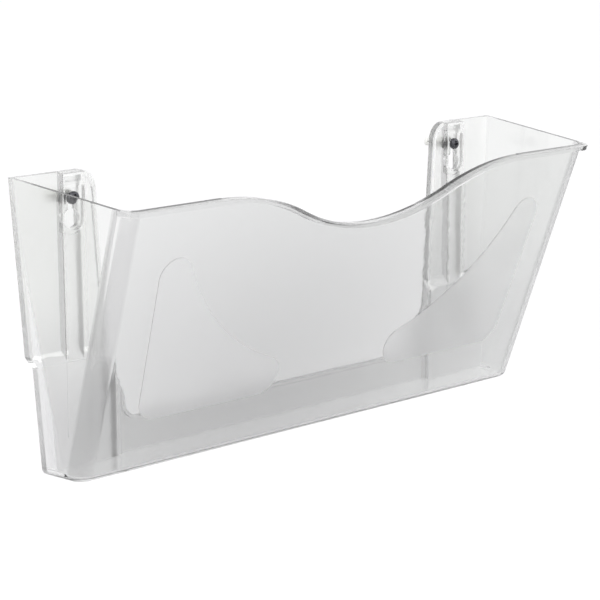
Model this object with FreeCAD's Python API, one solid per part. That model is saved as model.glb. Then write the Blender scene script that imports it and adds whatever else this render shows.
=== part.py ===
import FreeCAD, Part
import math
import os
from FreeCAD import Vector

# A wall-hung magazine pocket: one clear moulded shell on two screws in wall plugs.
# Millimetres. The wall is the plane y = 0, the pocket stands out from it towards -Y,
# x = 0 is the middle, and z = 0 is the underside of the floor.

# Shell, overall
back_width = 413.0          # across the back at the top edge
height = 178.0              # underside to the top of the back wings
shoulder_drop = 11.0        # wing tops down to the top of the front panel beside the wave
top_depth = 96.0            # wall to the front panel's outer face, at shoulder height
bottom_depth = 37.0         # wall to the front panel's outer face, at the underside
wall = 2.5                  # thickness of every wall
side_draft = 4.1            # degrees that each side leans in towards the floor
side_toe = 4.2              # degrees that each side turns in towards the front
corner_radius = 12.0        # upright front corners, outside
base_radius = 5.5           # edges between the floor and the walls, outside

# Wavy top edge of the front panel, and its lip
wave_dip = 29.0             # how far the middle lies below the shoulders
wave_half_width = 128.0     # middle to where the edge is level again
lip_reach = 5.5             # how far the lip stands out in front of the panel
lip_thickness = 3.0
lip_end = 8.0               # the lip stops this far behind the panel, where it has all but run out

# Back wings, strip and the opening between them
wing_width = 59.0           # each wing, parallel to the side wall
wing_corner = 12.0          # rounded top inner corner of a wing
strip_height = 23.0         # low strip that joins the wings
opening_corner = 12.0       # lower corners of the opening
opening_side = 77.0         # in from the side of the back, just above the strip
flare_bottom = 36.0         # the opening widens to the wings from here
flare_top = 57.0            # to here
rim_width = 2.2             # raised rim round the opening
rim_depth = 4.5             # measured from the wall

# Stacking ledge: the lower wings stand off the wall to clear the pocket below
ledge_height = 71.5
ledge_depth = 6.0
ledge_foot_side = 68.0      # in from the side of the back, to the inner end of the ledge
ledge_corner = 10.0

# Hanging channel down each wing, with a keyhole
screw_side = 41.5           # in from the side of the back, to the screw
channel_width = 16.5        # across its front face, outside
channel_rise = 5.5          # how far the channel stands out from the wing
channel_draft = 0.5         # how far each channel side leans in over its rise
seat_drop = 15.5            # wing top down to where the screw sits when the pocket hangs
keyhole_drop = 12.0         # seat to the centre of the round hole
head_hole_diameter = 11.5
slot_width = 5.0
recess_depth = 2.5          # the face is set back round the keyhole
recess_drop = 8.5           # wing top down to the top of the recess
recess_side = 1.2           # channel face left standing beside the recess
groove_depth = 0.8          # shallow groove behind the lower wing, in line with the channel
groove_foot = 20.0

# Frosted patches, slightly raised on the front panel (heights run up the panel)
patch_rise = 0.25
patch_side = 43.0           # in from the side of the back, to the nearest point
patch_length = 116.5
patch_bottom = 35.5
patch_top = 143.0
patch_lower_tip = 13.0      # radii of the two tips and of the outer corner
patch_upper_tip = 12.0
patch_corner = 14.0
patch_hollow = 160.0        # radius of the hollow side

# Screws and plugs
head_diameter = 7.4
head_height = 2.6
shank_diameter = 4.2
screw_length = 20.0         # under the head
point_length = 4.0
tip_radius = 0.4
head_round = 1.4
cross_width = 1.1
cross_length = 4.2
cross_depth = 1.4
plug_diameter = 7.0         # of the closed nose, and of the hole in the wall
plug_length = 18.0
plug_nose_length = 3.0
plug_body_diameter = 6.6
rib_diameter = 7.2
rib_width = 1.2
ribs = 4
plug_collar_diameter = 8.6
plug_collar_length = 0.8
plug_slit = 0.8             # splits the body so that it can spread

# Clearances
head_clearance = 0.3        # between the head and the recess floor
wall_clearance = 0.3        # between the plug's collar and the pocket

half_back = back_width / 2
half_spacing = half_back - screw_side
opening_half_width = half_back - opening_side
ledge_foot_half_width = half_back - ledge_foot_side
shoulder_height = height - shoulder_drop
seat_height = height - seat_drop
recess_top = height - recess_drop
patch_outer = half_back - patch_side
patch_inner = patch_outer - patch_length
lean = (top_depth - bottom_depth) / shoulder_height
lean_angle = math.atan(lean)
panel_stretch = math.hypot(1, lean)
draft = math.tan(math.radians(side_draft))
toe = math.tan(math.radians(side_toe))
side_stretch = math.sqrt(1 + draft ** 2 + toe ** 2)
far = 2 * height            # longer than anything that it cuts
corner_share = 1 - math.sqrt(0.5)    # of a radius, from a corner's tangent lines to its middle
clear_cut = 10.0            # how far a local cut runs past the face
over_top = height + 3 * clear_cut    # the forms are made too tall, then cut to the top edge


def side_x(y, z, inset=0.0):
    """Half width of the shell at a depth and height, with its walls moved in by inset."""
    return half_back - (height - z) * draft + y * toe - inset * side_stretch


def front_y(z, inset=0.0):
    """Depth of the front panel at a height, moved in by inset."""
    return -(bottom_depth + z * lean) + inset * panel_stretch


def line(a, b):
    return Part.LineSegment(a, b).toShape()


def arc(a, b, c):
    return Part.Arc(a, b, c).toShape()


def extrude(edges, along):
    return Part.Face(Part.Wire(edges)).extrude(along)


def mirrored(shape):
    return shape.mirror(Vector(0, 0, 0), Vector(1, 0, 0))


def both(shape):
    return shape.fuse(mirrored(shape))


def flat_face(*points):
    return Part.Face(Part.makePolygon(list(points) + [points[0]]))


def tapered_block(inset, floor, top, back, reach=0.0):
    """The shell's outer or inner form, with rounded front corners and floor edges.

    A reach moves only the front panel out, and leaves the sides where they are.
    """
    profile = flat_face(Vector(-far, back, floor), Vector(-far, front_y(floor, inset - reach), floor),
                        Vector(-far, front_y(top, inset - reach), top), Vector(-far, back, top))
    block = profile.extrude(Vector(2 * far, 0, 0))
    low = floor - clear_cut
    rise = top + clear_cut - low
    rear = back + clear_cut
    beside = flat_face(Vector(side_x(rear, low, inset), rear, low),
                       Vector(side_x(-far, low, inset), -far, low),
                       Vector(far, -far, low), Vector(far, rear, low))
    outside = beside.extrude(Vector(draft * rise, 0, rise))
    block = block.cut([outside, mirrored(outside)])
    upright = [e for e in block.Edges if e.BoundBox.ZLength > 1 and e.BoundBox.YMax < back - 1]
    block = block.makeFillet(corner_radius - inset, upright)
    base = [e for e in block.Edges
            if e.BoundBox.ZMax < floor + 0.01 and e.BoundBox.YMin < back - 0.01]
    return block.makeFillet(base_radius - inset, base)


def relief(inset):
    """Hollow behind one lower wing, grown by inset on every side."""
    x_in = ledge_foot_half_width - inset
    x_out = back_width
    r = ledge_corner
    k = r * corner_share

    def outline(y, rise):
        top = ledge_height + inset * math.sqrt(2) + rise
        return Part.Wire([
            line(Vector(x_out, y, -clear_cut), Vector(x_in, y, -clear_cut)),
            line(Vector(x_in, y, -clear_cut), Vector(x_in, y, top - r)),
            arc(Vector(x_in, y, top - r), Vector(x_in + k, y, top - k), Vector(x_in + r, y, top)),
            line(Vector(x_in + r, y, top), Vector(x_out, y, top)),
            line(Vector(x_out, y, top), Vector(x_out, y, -clear_cut))])
    depth = ledge_depth + inset
    slope = Part.makeLoft([outline(0, 0), outline(-depth, -depth)], True, True)
    behind = Part.Face(outline(0, 0)).extrude(Vector(0, clear_cut, 0))
    return slope.fuse(behind)


def groove():
    corner = Vector(half_spacing - channel_width / 2, -ledge_depth - groove_depth, groove_foot)
    return Part.makeBox(channel_width, ledge_depth, ledge_height - ledge_depth - groove_foot, corner)


def channel_void(inset):
    """Hollow behind one hanging channel, grown by inset; it runs down into the relief."""
    half_front = channel_width / 2 - wall + inset
    half_foot = half_front + channel_draft
    depth = channel_rise + inset
    top = height - wall + inset
    foot = ledge_height - ledge_depth
    ring = flat_face(Vector(half_spacing - half_foot, clear_cut, foot),
                     Vector(half_spacing + half_foot, clear_cut, foot),
                     Vector(half_spacing + half_front, -depth, foot),
                     Vector(half_spacing - half_front, -depth, foot))
    return ring.extrude(Vector(0, 0, top - foot))


def recess(inset):
    """Set-back area round one keyhole, as cut into the channel's front; inset moves it in."""
    half = channel_width / 2 - recess_side - inset
    centre = seat_height - keyhole_drop
    top = recess_top - inset
    front = -(channel_rise + wall)
    x0 = half_spacing
    edges = [line(Vector(x0 - half, 0, centre), Vector(x0 - half, 0, top)),
             line(Vector(x0 - half, 0, top), Vector(x0 + half, 0, top)),
             line(Vector(x0 + half, 0, top), Vector(x0 + half, 0, centre)),
             arc(Vector(x0 + half, 0, centre), Vector(x0, 0, centre - half), Vector(x0 - half, 0, centre))]
    body = extrude(edges, Vector(0, -clear_cut, 0))
    body.translate(Vector(0, front + recess_depth, 0))
    return body


def keyhole():
    """Round hole for the head, and the slot above it up to the seat."""
    def bore(diameter, z):
        return Part.makeCylinder(diameter / 2, 3 * clear_cut, Vector(half_spacing, clear_cut, z),
                                 Vector(0, -1, 0))
    centre = seat_height - keyhole_drop
    corner = Vector(half_spacing - slot_width / 2, -2 * clear_cut, centre)
    slot = Part.makeBox(slot_width, 3 * clear_cut, keyhole_drop, corner)
    return bore(head_hole_diameter, centre).fuse([slot, bore(slot_width, seat_height)])


def wing_edge_x(z):
    """Inner edge of a wing, parallel to the side wall."""
    return side_x(0, z) - wing_width


def opening_edges(grow, y):
    """Outline of the opening between the wings, grown by grow, drawn at depth y."""
    def v(x, z):
        return Vector(x, y, z)
    low = strip_height - grow
    x_low = opening_half_width + grow
    r = opening_corner + grow
    k = r * corner_share
    x_high = wing_edge_x(flare_top) + grow
    x_mid = (x_low + x_high) / 2
    z_mid = (flare_bottom + flare_top) / 2
    half_run = (x_high - x_low) / 2
    bend = (half_run ** 2 + (flare_top - z_mid) ** 2) / (2 * half_run)
    turn = math.asin((flare_top - z_mid) / bend) / 2
    sag = bend * (1 - math.cos(turn))
    step = bend * math.sin(turn)
    z_round = height - wing_corner - grow
    x_round = wing_edge_x(z_round) + grow
    k_round = wing_corner * corner_share
    x_top = x_round + wing_corner
    z_top = z_round + wing_corner
    side = [line(v(0, low), v(x_low - r, low)),
            arc(v(x_low - r, low), v(x_low - k, low + k), v(x_low, low + r)),
            line(v(x_low, low + r), v(x_low, flare_bottom)),
            arc(v(x_low, flare_bottom), v(x_low + sag, flare_bottom + step), v(x_mid, z_mid)),
            arc(v(x_mid, z_mid), v(x_high - sag, flare_top - step), v(x_high, flare_top)),
            line(v(x_high, flare_top), v(x_round, z_round)),
            arc(v(x_round, z_round), v(x_round + k_round, z_top - k_round), v(x_top, z_top)),
            line(v(x_top, z_top), v(x_top, over_top))]
    other = [e.mirror(Vector(0, 0, 0), Vector(1, 0, 0)) for e in side]
    cap = line(v(x_top, over_top), v(-x_top, over_top))
    return Part.__sortEdges__(side + [cap] + other)


def opening(grow, depth):
    return extrude(opening_edges(grow, clear_cut), Vector(0, -clear_cut - depth, 0))


def wave_cut():
    """All that lies above the front panel's wavy edge, in front of the back wings."""
    half = wave_half_width
    low = shoulder_height - wave_dip
    mid = shoulder_height - wave_dip / 2
    bend = ((half / 2) ** 2 + (wave_dip / 2) ** 2) / wave_dip
    turn = math.asin(half / 2 / bend) / 2
    sag = bend * (1 - math.cos(turn))
    step = bend * math.sin(turn)

    mid_depth = top_depth / 2       # in the hollow, between the wings and the front panel

    def v(x, z):
        return Vector(x, -mid_depth, z)
    right = [arc(v(0, low), v(step, low + sag), v(half / 2, mid)),
             arc(v(half / 2, mid), v(half - step, shoulder_height - sag), v(half, shoulder_height))]
    left = [e.mirror(Vector(0, 0, 0), Vector(1, 0, 0)) for e in right]
    frame = [line(v(half, shoulder_height), v(half, over_top)),
             line(v(half, over_top), v(-half, over_top)),
             line(v(-half, over_top), v(-half, shoulder_height))]
    return extrude(Part.__sortEdges__(right + left + frame), Vector(0, -far, 0))


def top_cut():
    """All that lies above the side walls' sloping tops and the shoulders."""
    profile = flat_face(Vector(-far, 0, height), Vector(-far, front_y(shoulder_height), shoulder_height),
                        Vector(-far, -far, shoulder_height), Vector(-far, -far, far),
                        Vector(-far, 0, far))
    return profile.extrude(Vector(2 * far, 0, 0))


def lip():
    """Outward lip that follows the top edge and runs out into the sides at the corners."""
    wide = tapered_block(0, 0, over_top, 0, lip_reach)
    plain = tapered_block(wall / 2, -clear_cut, over_top + clear_cut, clear_cut)
    band = wide.cut(plain)
    lower = wave_cut().fuse(top_cut())
    kept = band.common(lower.translated(Vector(0, 0, -lip_thickness)))
    kept = kept.cut(lower)
    ahead = front_y(shoulder_height) + lip_end
    behind = Part.makeBox(2 * far, far, 2 * far, Vector(-far, ahead, -far))
    return kept.cut(behind)


def on_panel(shape):
    """Moves a shape drawn flat at y = 0, heights up z, onto the front panel's outer face."""
    shape.rotate(Vector(0, 0, 0), Vector(1, 0, 0), math.degrees(lean_angle))
    shape.translate(Vector(0, -bottom_depth, 0))
    return shape


def patch_outline():
    """One frosted patch: an upright arm, a level arm, and a hollow side between their tips."""
    def v(x, z):
        return Vector(x, 0, z)

    def rounding(centre, radius, start, end):
        middle = (start + end).normalize()
        return arc(centre + start * radius, centre + middle * radius, centre + end * radius)
    low = v(patch_inner + patch_lower_tip, patch_bottom + patch_lower_tip)
    high = v(patch_outer - patch_upper_tip, patch_top - patch_upper_tip)
    drop = high.z - patch_bottom - patch_corner
    corner = v(patch_outer - drop * draft - patch_corner, patch_bottom + patch_corner)
    chord = high - low
    reach = patch_hollow + (patch_lower_tip + patch_upper_tip) / 2
    square = v(-chord.z, chord.x).normalize()
    centre = (low + high) * 0.5 + square * math.sqrt(reach ** 2 - (chord.Length / 2) ** 2)
    to_low = (centre - low).normalize()
    to_high = (centre - high).normalize()
    down = v(0, -1)
    out = v(1, -draft).normalize()
    a = low + to_low * patch_lower_tip
    b = high + to_high * patch_upper_tip
    return [arc(b, centre - square * patch_hollow, a),
            rounding(low, patch_lower_tip, to_low, down),
            line(low + down * patch_lower_tip, corner + down * patch_corner),
            rounding(corner, patch_corner, down, out),
            line(corner + out * patch_corner, high + out * patch_upper_tip),
            rounding(high, patch_upper_tip, out, to_high)]


def patch():
    proud = extrude(patch_outline(), Vector(0, -patch_rise, 0))
    sunk = extrude(patch_outline(), Vector(0, wall / 2, 0))
    return on_panel(proud.fuse(sunk))


def recess_plate():
    """The face set back behind one recess, overlapping the channel's front from behind."""
    outline = recess(-wall)
    outline.translate(Vector(0, wall, 0))
    slab = Part.makeBox(far, wall, far, Vector(0, -channel_rise, 0))
    return outline.common(slab).common(channel_void(wall))


def pocket():
    outer = tapered_block(0.0, 0, over_top, 0)
    inner = tapered_block(wall, wall, over_top + clear_cut, -wall)
    outer = outer.cut([both(relief(0.0)), both(channel_void(0.0))])
    inner = inner.cut([both(relief(wall)), both(channel_void(wall))])
    shell = outer.cut(inner)
    ring = opening(rim_width, rim_depth).common(tapered_block(wall / 2, 0, over_top, 0))
    shell = shell.fuse(ring).cut([top_cut(), opening(0.0, rim_depth + clear_cut), wave_cut()])
    shell = shell.fuse([lip(), both(patch())]).cut(both(groove()))
    for side in (lambda s: s, mirrored):
        shell = shell.cut(side(recess(0.0))).fuse(side(recess_plate())).cut(side(keyhole()))
    return shell


def screw(x):
    """Pan-head cross screw, seated just clear of the recess floor."""
    under = -(channel_rise + wall) + recess_depth - head_clearance
    seat = Vector(x, under, seat_height)
    head = Part.makeCylinder(head_diameter / 2, head_height, seat, Vector(0, -1, 0))
    crown = [e for e in head.Edges if abs(e.BoundBox.YMin - (under - head_height)) < 0.01
             and e.BoundBox.YLength < 0.01]
    head = head.makeFillet(head_round, crown)
    straight = screw_length - point_length
    shank = Part.makeCylinder(shank_diameter / 2, straight, seat, Vector(0, 1, 0))
    point = Part.makeCone(shank_diameter / 2, tip_radius, point_length, seat + Vector(0, straight, 0),
                          Vector(0, 1, 0))
    body = head.fuse([shank, point])
    for wide, tall in ((cross_length, cross_width), (cross_width, cross_length)):
        corner = Vector(x - wide / 2, under - head_height - clear_cut, seat_height - tall / 2)
        body = body.cut(Part.makeBox(wide, cross_depth + clear_cut, tall, corner))
    return body.removeSplitter()


def rod(diameter, length, start):
    return Part.makeCylinder(diameter / 2, length, start, Vector(0, 1, 0))


def plug(x):
    """Ribbed plug that the screw spreads: a collar, a split body and a closed nose."""
    start = Vector(x, wall_clearance, seat_height)
    body_length = plug_length - plug_nose_length
    body = rod(plug_body_diameter, body_length, start)
    pitch = body_length / (ribs + 1)
    rings = [rod(rib_diameter, rib_width, start + Vector(0, i * pitch, 0))
             for i in range(1, ribs + 1)]
    body = body.fuse(rings)
    slit_start = start + Vector(-rib_diameter, pitch / 2, -plug_slit / 2)
    body = body.cut(Part.makeBox(2 * rib_diameter, body_length, plug_slit, slit_start))
    collar = rod(plug_collar_diameter, plug_collar_length, start)
    nose = rod(plug_diameter, plug_nose_length, start + Vector(0, body_length, 0))
    return body.fuse([collar, nose]).cut(screw(x)).removeSplitter()


def main():
    os.makedirs("parts", exist_ok=True)
    nodes = {
        "pocket": pocket(),
        "screw_left": screw(-half_spacing),
        "screw_right": screw(half_spacing),
        "plug_left": plug(-half_spacing),
        "plug_right": plug(half_spacing),
    }
    for name, shape in nodes.items():
        shape.exportStep("parts/" + name + ".step")
        box = shape.BoundBox
        print(name, shape.isValid(), len(shape.Solids), round(shape.Volume, 1),
              [round(v, 2) for v in (box.XMin, box.XMax, box.YMin, box.YMax, box.ZMin, box.ZMax)])


main()
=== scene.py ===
import bmesh
import bpy
import math
from bpy.props import FloatProperty, FloatVectorProperty, PointerProperty
from mathutils import Matrix, Vector


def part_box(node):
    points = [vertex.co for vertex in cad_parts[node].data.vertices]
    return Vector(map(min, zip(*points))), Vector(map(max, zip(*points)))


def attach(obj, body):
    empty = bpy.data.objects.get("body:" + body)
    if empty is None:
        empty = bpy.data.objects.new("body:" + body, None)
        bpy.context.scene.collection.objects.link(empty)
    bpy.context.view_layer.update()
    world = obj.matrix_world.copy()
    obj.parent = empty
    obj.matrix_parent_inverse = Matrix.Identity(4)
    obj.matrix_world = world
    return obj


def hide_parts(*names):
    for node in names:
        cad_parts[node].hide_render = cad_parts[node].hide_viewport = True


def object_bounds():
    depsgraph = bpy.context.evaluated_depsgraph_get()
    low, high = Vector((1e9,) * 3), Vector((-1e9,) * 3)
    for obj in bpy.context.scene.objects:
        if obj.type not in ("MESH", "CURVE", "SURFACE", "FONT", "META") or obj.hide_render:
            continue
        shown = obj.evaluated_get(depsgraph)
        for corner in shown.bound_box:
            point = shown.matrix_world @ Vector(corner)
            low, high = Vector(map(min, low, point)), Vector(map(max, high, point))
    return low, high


# Clear moulded magazine pocket on two screws, in metres. The wall is the plane y = 0,
# the pocket stands out towards -Y, and z = 0 is the underside of its floor.

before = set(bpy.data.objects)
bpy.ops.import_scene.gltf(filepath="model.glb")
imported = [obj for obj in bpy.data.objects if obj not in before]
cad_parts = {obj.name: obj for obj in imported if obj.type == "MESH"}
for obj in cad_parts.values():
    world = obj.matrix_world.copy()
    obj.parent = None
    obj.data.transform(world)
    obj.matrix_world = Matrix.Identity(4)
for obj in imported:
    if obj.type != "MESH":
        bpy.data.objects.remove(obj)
cad_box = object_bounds()

bl_info = {
    "name": "Wall Magazine Pocket",
    "version": (1, 0, 0),
    "blender": (4, 5, 0),
    "location": "View3D > Sidebar > Magazine Pocket",
    "description": "Finishes the pocket, its screws and plugs, and sets a plain studio round them",
    "category": "Object",
}

# Shading of the CAD meshes
WELD = 1e-5                 # vertices nearer than this are one
SHARP_ANGLE = math.radians(25)
FLAT_ANGLE = math.radians(0.3)      # faces that turn by less than this are joined

# How the pocket's faces are told apart, and the finish that each kind gets
CLEAR, HAZY, FROSTED, MATT, RIM, SOFT, FLOOR = range(7)
FACING = 0.999              # cosine within which two directions are the same
EDGE_TURN = 0.05            # how far the rims and cut edges may turn off their plane
PATCH_SINK = 0.00005        # the edges of the frosted patches lie further out than this
PATCH_REACH = 0.0006        # the frosted patches stand out from the panel by less than this
CORNER_REACH = 0.013        # the rounded corners reach this far behind the front panel
BACK_REACH = 0.0070         # the rims, ledges and grooves at the back are all shallower than this
TOP_EDGES = 0.12            # the pocket's top edges lie above this
FLOOR_LEVEL = 0.005         # both faces of the floor lie below this

# Plastic
PLASTIC_IOR = 1.42
HAZY_SHARE = 1.2            # roughness of the front panel, as a multiple of the polished walls'
SOFT_SHARE = 5.0            # and of the lip and the corners
MATT_ROUGHNESS = 0.5
LOW_SHADE_TOP = 0.03             # the clear walls' painted shade, darker low down, is full up to this height
LOW_SHADE_FADE = 0.09            # and fades out over this much more
SHADOW_BOWL_SIDE = -0.06           # middle of the front panel's painted shadow (the pocket's shade on the wall behind, set left as the light comes from the right and above), and how far it reaches
SHADOW_BOWL_HEIGHT = 0.045
SHADOW_BOWL_REACH = (0.30, 1, 0.20)

# Grain of each material, in bumps per metre or so
PLASTIC_GRAIN = 45.0
STEEL_GRAIN = 900.0
NYLON_GRAIN = 600.0

# Studio: place from the pocket's middle, size in metres, watts
KEY_LIGHT = ((-1.2, -1.0, 1.6), (1.6, 1.2), 14)
FILL_LIGHT = ((1.6, -1.2, 0.6), (1.0, 1.4), 6)
SKY_STRENGTH = 1.35
SKY_OVERHEAD = (0.75, 0.75, 0.76, 1)


class PocketProps(bpy.types.PropertyGroup):
    """Plastic of the pocket."""
    clear_colour: FloatVectorProperty(
        name="Clear plastic", description="What a clear wall lets through near the top",
        subtype="COLOR", size=4, min=0, max=1, default=(0.90, 0.905, 0.895, 1))
    # Painted shade: the clear walls are darker towards the floor, standing in for the pocket's
    # shadow on the wall behind.
    low_shade_colour: FloatVectorProperty(
        name="Clear plastic, low down", description="What a clear wall lets through near the floor",
        subtype="COLOR", size=4, min=0, max=1, default=(0.78, 0.78, 0.78, 1))
    panel_colour: FloatVectorProperty(
        name="Front panel", description="What the hazy front panel lets through at its ends",
        subtype="COLOR", size=4, min=0, max=1, default=(0.82, 0.825, 0.82, 1))
    # Painted shadow: the front panel is darkest in its low middle, standing in for the pocket's
    # shadow on the wall behind.
    panel_shadow_colour: FloatVectorProperty(
        name="Front panel, low middle", description="What it lets through where it is haziest",
        subtype="COLOR", size=4, min=0, max=1, default=(0.57, 0.57, 0.57, 1))
    # Partly the patches' frosting, partly painted shadow: darker still where the front panel's
    # painted shadow is deepest.
    frost_and_shadow_colour: FloatVectorProperty(
        name="Frosted patch", description="What a frosted patch lets through where it is haziest",
        subtype="COLOR", size=4, min=0, max=1, default=(0.64, 0.64, 0.64, 1))
    rim_colour: FloatVectorProperty(
        name="Rims", description="What the thick rims and cut edges let through",
        subtype="COLOR", size=4, min=0, max=1, default=(0.62, 0.62, 0.62, 1))
    soft_colour: FloatVectorProperty(
        name="Lip and corners", description="What the lip and the rounded corners let through",
        subtype="COLOR", size=4, min=0, max=1, default=(0.72, 0.72, 0.72, 1))
    floor_colour: FloatVectorProperty(
        name="Floor", description="What the floor lets through",
        subtype="COLOR", size=4, min=0, max=1, default=(0.85, 0.85, 0.85, 1))
    clear_roughness: FloatProperty(
        name="Gloss roughness", description="Roughness of the polished walls",
        min=0, max=1, default=0.04, subtype="FACTOR")
    frost_roughness: FloatProperty(
        name="Frost roughness", description="Roughness of the frosted patches",
        min=0, max=1, default=0.35, subtype="FACTOR")


class FixingProps(bpy.types.PropertyGroup):
    """Metal of the screws and nylon of the plugs."""
    screw_colour: FloatVectorProperty(
        name="Screw", description="Dark plated steel",
        subtype="COLOR", size=4, min=0, max=1, default=(0.09, 0.09, 0.10, 1))
    plug_colour: FloatVectorProperty(
        name="Plug", description="Pale nylon",
        subtype="COLOR", size=4, min=0, max=1, default=(0.80, 0.80, 0.78, 1))


class StudioProps(bpy.types.PropertyGroup):
    """Camera and floor of the studio."""
    lens: FloatProperty(
        name="Lens", description="Focal length on a 36 mm sensor, in millimetres",
        min=10, max=300, default=129.73)
    yaw: FloatProperty(
        name="Yaw", description="Turn of the view from straight at the wall",
        subtype="ANGLE", default=math.radians(43.885))
    pitch: FloatProperty(
        name="Pitch", description="How far the camera looks down",
        subtype="ANGLE", default=math.radians(11.534))
    roll: FloatProperty(
        name="Roll", description="Tilt of the camera about its own axis",
        subtype="ANGLE", default=math.radians(-0.437))
    place: FloatVectorProperty(
        name="Camera place", description="Where the camera stands",
        subtype="TRANSLATION", size=3, default=(-0.9333, -0.9949, 0.3546))
    floor_drop: FloatProperty(
        name="Floor drop", description="From the pocket's underside down to the floor",
        min=0.1, default=1.0, unit="LENGTH")
    floor_size: FloatProperty(
        name="Floor size", description="Width of the square floor",
        min=1, default=60.0, unit="LENGTH")


def new_material(name):
    material = bpy.data.materials.new(name)
    material.use_nodes = True
    tree = material.node_tree
    return material, tree, tree.nodes["Principled BSDF"]


def add(tree, kind, **values):
    """Adds a node, with its plain properties and unlinked sockets set."""
    node = tree.nodes.new(kind)
    for key, value in values.items():
        if hasattr(node, key):
            setattr(node, key, value)
        else:
            node.inputs[key.replace("_", " ")].default_value = value
    return node


def ripple(tree, shader, scale, strength, distance):
    """A soft uneven surface, as moulded plastic and turned metal have; returns its noise."""
    place = add(tree, "ShaderNodeTexCoord")
    noise = add(tree, "ShaderNodeTexNoise", Scale=scale, Detail=3.0, Roughness=0.5)
    bump = add(tree, "ShaderNodeBump", Strength=strength, Distance=distance)
    tree.links.new(place.outputs["Object"], noise.inputs["Vector"])
    tree.links.new(noise.outputs["Fac"], bump.inputs["Height"])
    tree.links.new(bump.outputs["Normal"], shader.inputs["Normal"])
    return noise


def varied_roughness(tree, shader, noise, low, high):
    """Roughness that wanders between two values with the same noise as the bumps."""
    spread = add(tree, "ShaderNodeMapRange")
    spread.inputs["To Min"].default_value = low
    spread.inputs["To Max"].default_value = high
    tree.links.new(noise.outputs["Fac"], spread.inputs["Value"])
    tree.links.new(spread.outputs["Result"], shader.inputs["Roughness"])


def painted_shade_tint(tree, shader, near, far, kind, centre, reach):
    """Paints shade into the plastic's colour: one colour at centre, fading to another at reach from
    it.

    A LINEAR tint fades upwards from centre, and a SPHERICAL one outwards.
    """
    place = add(tree, "ShaderNodeTexCoord")
    turn = add(tree, "ShaderNodeMapping", vector_type="TEXTURE")
    turn.inputs["Location"].default_value = centre
    turn.inputs["Scale"].default_value = reach
    if kind == "LINEAR":
        turn.inputs["Rotation"].default_value = (0, math.radians(-90), 0)
    fade = add(tree, "ShaderNodeTexGradient", gradient_type=kind)
    ramp = add(tree, "ShaderNodeValToRGB")
    ramp.color_ramp.interpolation = "EASE"
    ends = (far, near) if kind == "SPHERICAL" else (near, far)
    for element, colour in zip(ramp.color_ramp.elements, ends):
        element.color = colour
    tree.links.new(place.outputs["Object"], turn.inputs["Vector"])
    tree.links.new(turn.outputs["Vector"], fade.inputs["Vector"])
    tree.links.new(fade.outputs["Fac"], ramp.inputs["Fac"])
    tree.links.new(ramp.outputs["Color"], shader.inputs["Base Color"])


def plastic_material(name, near, far, fade, roughness, bump):
    """Clear plastic whose colour fades as painted shade, the fade given as (kind, centre, reach).
    """
    material, tree, shader = new_material(name)
    painted_shade_tint(tree, shader, near, far, *fade)
    shader.inputs["Transmission Weight"].default_value = 1.0
    shader.inputs["IOR"].default_value = PLASTIC_IOR
    noise = ripple(tree, shader, PLASTIC_GRAIN, bump, 0.001)
    varied_roughness(tree, shader, noise, roughness * 0.6, roughness * 1.4)
    return material


def metal_material(name, colour):
    material, tree, shader = new_material(name)
    shader.inputs["Base Color"].default_value = colour
    shader.inputs["Metallic"].default_value = 1.0
    noise = ripple(tree, shader, STEEL_GRAIN, 0.25, 0.0002)
    varied_roughness(tree, shader, noise, 0.22, 0.42)
    return material


def nylon_material(name, colour):
    material, tree, shader = new_material(name)
    shader.inputs["Base Color"].default_value = colour
    shader.inputs["Subsurface Weight"].default_value = 0.2
    shader.inputs["Subsurface Radius"].default_value = (0.002, 0.002, 0.002)
    noise = ripple(tree, shader, NYLON_GRAIN, 0.2, 0.0002)
    varied_roughness(tree, shader, noise, 0.4, 0.6)
    return material


def finished_copy(node, name):
    """A welded, smoothly shaded copy of a CAD node, ready for its finish."""
    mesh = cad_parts[node].data.copy()
    mesh.name = name
    mesh.materials.clear()
    shape = bmesh.new()
    shape.from_mesh(mesh)
    bmesh.ops.remove_doubles(shape, verts=shape.verts, dist=WELD)
    bmesh.ops.recalc_face_normals(shape, faces=shape.faces)
    bmesh.ops.dissolve_limit(shape, angle_limit=FLAT_ANGLE, use_dissolve_boundaries=False,
                             verts=shape.verts, edges=shape.edges)
    shape.to_mesh(mesh)
    shape.free()
    mesh.polygons.foreach_set("use_smooth", [True] * len(mesh.polygons))
    mesh.set_sharp_from_angle(angle=SHARP_ANGLE)
    piece = bpy.data.objects.new(name, mesh)
    bpy.context.scene.collection.objects.link(piece)
    even = piece.modifiers.new("flat faces stay flat", "WEIGHTED_NORMAL")
    even.mode = "FACE_AREA"
    even.weight = 100
    even.keep_sharp = True
    return piece


def front_panel(mesh):
    """Outward direction of the slanted front panel, and its distance along that direction."""
    best = max((p for p in mesh.polygons if p.normal.y < -0.8 and p.normal.z < -0.1),
               key=lambda p: p.area)
    return best.normal.copy(), best.center.dot(best.normal)


def finish_of(face, normal, level, back):
    """Which finish a face of the pocket has, from where it lies and which way it looks."""
    ahead = face.center.dot(normal) - level
    by_wall = face.center.y > back - BACK_REACH
    if PATCH_SINK < ahead < PATCH_REACH:
        return FROSTED
    if by_wall and face.normal.y > FACING:
        return MATT
    if ahead > PATCH_REACH:
        return SOFT
    if abs(face.normal.z) > FACING and face.center.z < FLOOR_LEVEL:
        return FLOOR
    if by_wall and abs(face.normal.y) < EDGE_TURN:
        return RIM
    if abs(face.normal.z) > 1 - EDGE_TURN and face.center.z > TOP_EDGES:
        return RIM
    if ahead < -CORNER_REACH:
        return CLEAR
    return HAZY if abs(face.normal.dot(normal)) > FACING else SOFT


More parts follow.
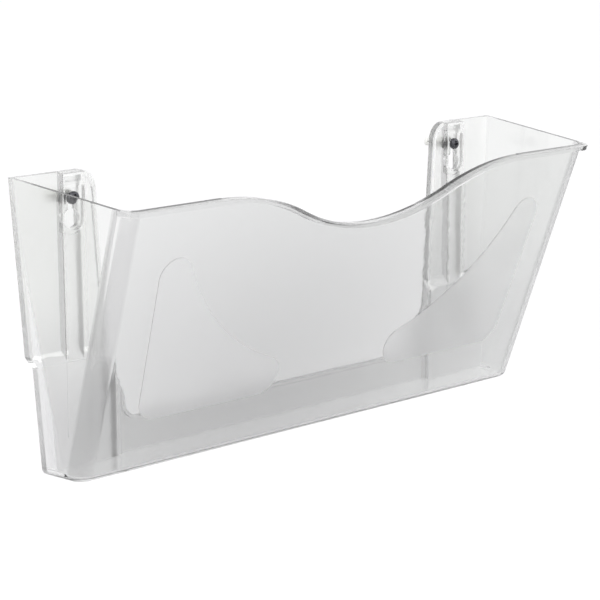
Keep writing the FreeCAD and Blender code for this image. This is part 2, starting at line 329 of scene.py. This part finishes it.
class POCKET_OT_shell(bpy.types.Operator):
    """Finishes the moulded pocket: clear walls, hazy front, frosted patches, matt back, rims, with
    painted shade darker low down and in the front panel's middle
    """
    bl_idname = "pocket.shell"
    bl_label = "Pocket shell"

    def execute(self, context):
        props = context.scene.pocket_props
        shell = finished_copy("pocket", "pocket_shell")
        mesh = shell.data
        low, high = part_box("pocket")
        for finish in self.finishes(props, low.z):
            mesh.materials.append(plastic_material(*finish))
        normal, level = front_panel(mesh)
        for face in mesh.polygons:
            face.material_index = finish_of(face, normal, level, high.y)
        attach(shell, "pocket")
        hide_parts("pocket")
        return {"FINISHED"}

    def finishes(self, props, foot):
        """Name, tints (painted-shade end first), fade, roughness and bump of each finish, in the
        order of their numbers.
        """
        # Painted shade: the walls darken towards the floor, and the front, frosted and soft faces
        # darken in a bowl low in the panel's middle, for the pocket's shadow on the wall behind.
        low_shade = ("LINEAR", (0, 0, foot + LOW_SHADE_TOP), (LOW_SHADE_FADE, 1, 1))
        shadow_bowl = ("SPHERICAL", (SHADOW_BOWL_SIDE, 0, foot + SHADOW_BOWL_HEIGHT), SHADOW_BOWL_REACH)
        gloss = props.clear_roughness
        return (
            ("polished_plastic", props.low_shade_colour, props.clear_colour, low_shade, gloss, 0.05),
            ("hazy_shaded_plastic", props.panel_shadow_colour, props.panel_colour, shadow_bowl,
             HAZY_SHARE * gloss, 0.12),
            ("frosted_plastic", props.frost_and_shadow_colour, props.panel_colour, shadow_bowl,
             props.frost_roughness, 0.1),
            ("matt_plastic", props.low_shade_colour, props.clear_colour, low_shade, MATT_ROUGHNESS, 0.1),
            ("rim_plastic", props.rim_colour, props.rim_colour, low_shade, gloss, 0.05),
            ("soft_plastic", props.panel_shadow_colour, props.soft_colour, shadow_bowl, SOFT_SHARE * gloss, 0.12),
            ("floor_plastic", props.floor_colour, props.floor_colour, low_shade, gloss, 0.05))


class POCKET_OT_fixings(bpy.types.Operator):
    """Finishes the two screws and their wall plugs"""
    bl_idname = "pocket.fixings"
    bl_label = "Screws and plugs"

    def execute(self, context):
        props = context.scene.fixing_props
        finishes = {"screw": ("screw_steel", metal_material("dark_steel", props.screw_colour)),
                    "plug": ("plug_plastic", nylon_material("pale_nylon", props.plug_colour))}
        for kind, (slot, material) in finishes.items():
            for side in ("left", "right"):
                node = f"{kind}_{side}"
                piece = finished_copy(node, node + "_finished")
                piece.data.materials.append(material)
                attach(piece, "wall_fixings")
                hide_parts(node)
        return {"FINISHED"}


def soft_light(name, target, offset, size, power):
    """An area light that faces its target from an offset."""
    place = Vector(target) + Vector(offset)
    data = bpy.data.lights.new(name, "AREA")
    data.shape = "RECTANGLE"
    data.size, data.size_y = size
    data.energy = power
    light = bpy.data.objects.new(name, data)
    light.location = place
    light.rotation_euler = (Vector(target) - place).to_track_quat("-Z", "Y").to_euler()
    bpy.context.scene.collection.objects.link(light)


class POCKET_OT_studio(bpy.types.Operator):
    """Sets up the pale floor, the soft light and the camera"""
    bl_idname = "pocket.studio"
    bl_label = "Studio"

    def execute(self, context):
        props = context.scene.studio_props
        scene = context.scene
        scene.view_settings.view_transform = "Standard"
        self.floor(props)
        self.sky(scene)
        low, high = (Vector(v) for v in cad_box)
        middle = (low + high) / 2
        soft_light("key", middle, *KEY_LIGHT)
        soft_light("fill", middle, *FILL_LIGHT)
        self.camera(scene, props)
        return {"FINISHED"}

    def floor(self, props):
        shape = bmesh.new()
        bmesh.ops.create_grid(shape, x_segments=1, y_segments=1, size=props.floor_size / 2)
        bmesh.ops.translate(shape, verts=shape.verts, vec=(0, 0, -props.floor_drop))
        mesh = bpy.data.meshes.new("floor")
        shape.to_mesh(mesh)
        shape.free()
        material, tree, shader = new_material("floor")
        shader.inputs["Base Color"].default_value = (0.9, 0.9, 0.9, 1)
        shader.inputs["Roughness"].default_value = 0.9
        shader.inputs["Specular IOR Level"].default_value = 0.1
        mesh.materials.append(material)
        floor = bpy.data.objects.new("floor", mesh)
        bpy.context.scene.collection.objects.link(floor)

    def sky(self, scene):
        """White near the horizon and below, greyer overhead, so that clear edges have contrast."""
        world = bpy.data.worlds.new("studio")
        world.use_nodes = True
        scene.world = world
        tree = world.node_tree
        back = tree.nodes["Background"]
        place = add(tree, "ShaderNodeTexCoord")
        split = add(tree, "ShaderNodeSeparateXYZ")
        ramp = add(tree, "ShaderNodeValToRGB")
        ramp.color_ramp.elements[0].position = 0.0
        ramp.color_ramp.elements[0].color = (1, 1, 1, 1)
        ramp.color_ramp.elements[1].position = 1.0
        ramp.color_ramp.elements[1].color = SKY_OVERHEAD
        tree.links.new(place.outputs["Generated"], split.inputs["Vector"])
        tree.links.new(split.outputs["Z"], ramp.inputs["Fac"])
        tree.links.new(ramp.outputs["Color"], back.inputs["Color"])
        back.inputs["Strength"].default_value = SKY_STRENGTH

    def camera(self, scene, props):
        data = bpy.data.cameras.new("camera")
        data.sensor_width = 36.0
        data.lens = props.lens
        data.clip_end = 200.0
        camera = bpy.data.objects.new("camera", data)
        turn = (Matrix.Rotation(-props.yaw, 4, "Z")
                @ Matrix.Rotation(math.radians(90) - props.pitch, 4, "X")
                @ Matrix.Rotation(props.roll, 4, "Z"))
        camera.matrix_world = Matrix.Translation(props.place) @ turn
        scene.collection.objects.link(camera)
        scene.camera = camera


class POCKET_PT_sidebar(bpy.types.Panel):
    """Lists the pieces and the studio"""
    bl_idname = "POCKET_PT_sidebar"
    bl_label = "Magazine Pocket"
    bl_space_type = "VIEW_3D"
    bl_region_type = "UI"
    bl_category = "Magazine Pocket"

    def draw(self, context):
        for group in ("pocket_props", "fixing_props", "studio_props"):
            values = getattr(context.scene, group)
            for name in values.__annotations__:
                self.layout.prop(values, name)
        for operator in OPERATORS:
            self.layout.operator(operator.bl_idname)


GROUPS = {"pocket_props": PocketProps, "fixing_props": FixingProps, "studio_props": StudioProps}
OPERATORS = (POCKET_OT_shell, POCKET_OT_fixings, POCKET_OT_studio)
CLASSES = (*GROUPS.values(), *OPERATORS, POCKET_PT_sidebar)


def register():
    for cls in CLASSES:
        bpy.utils.register_class(cls)
    for name, group in GROUPS.items():
        setattr(bpy.types.Scene, name, PointerProperty(type=group))


def unregister():
    for name in GROUPS:
        delattr(bpy.types.Scene, name)
    for cls in reversed(CLASSES):
        bpy.utils.unregister_class(cls)


def main():
    register()
    bpy.ops.pocket.shell()
    bpy.ops.pocket.fixings()
    bpy.ops.pocket.studio()


if __name__ == "__main__":
    main()
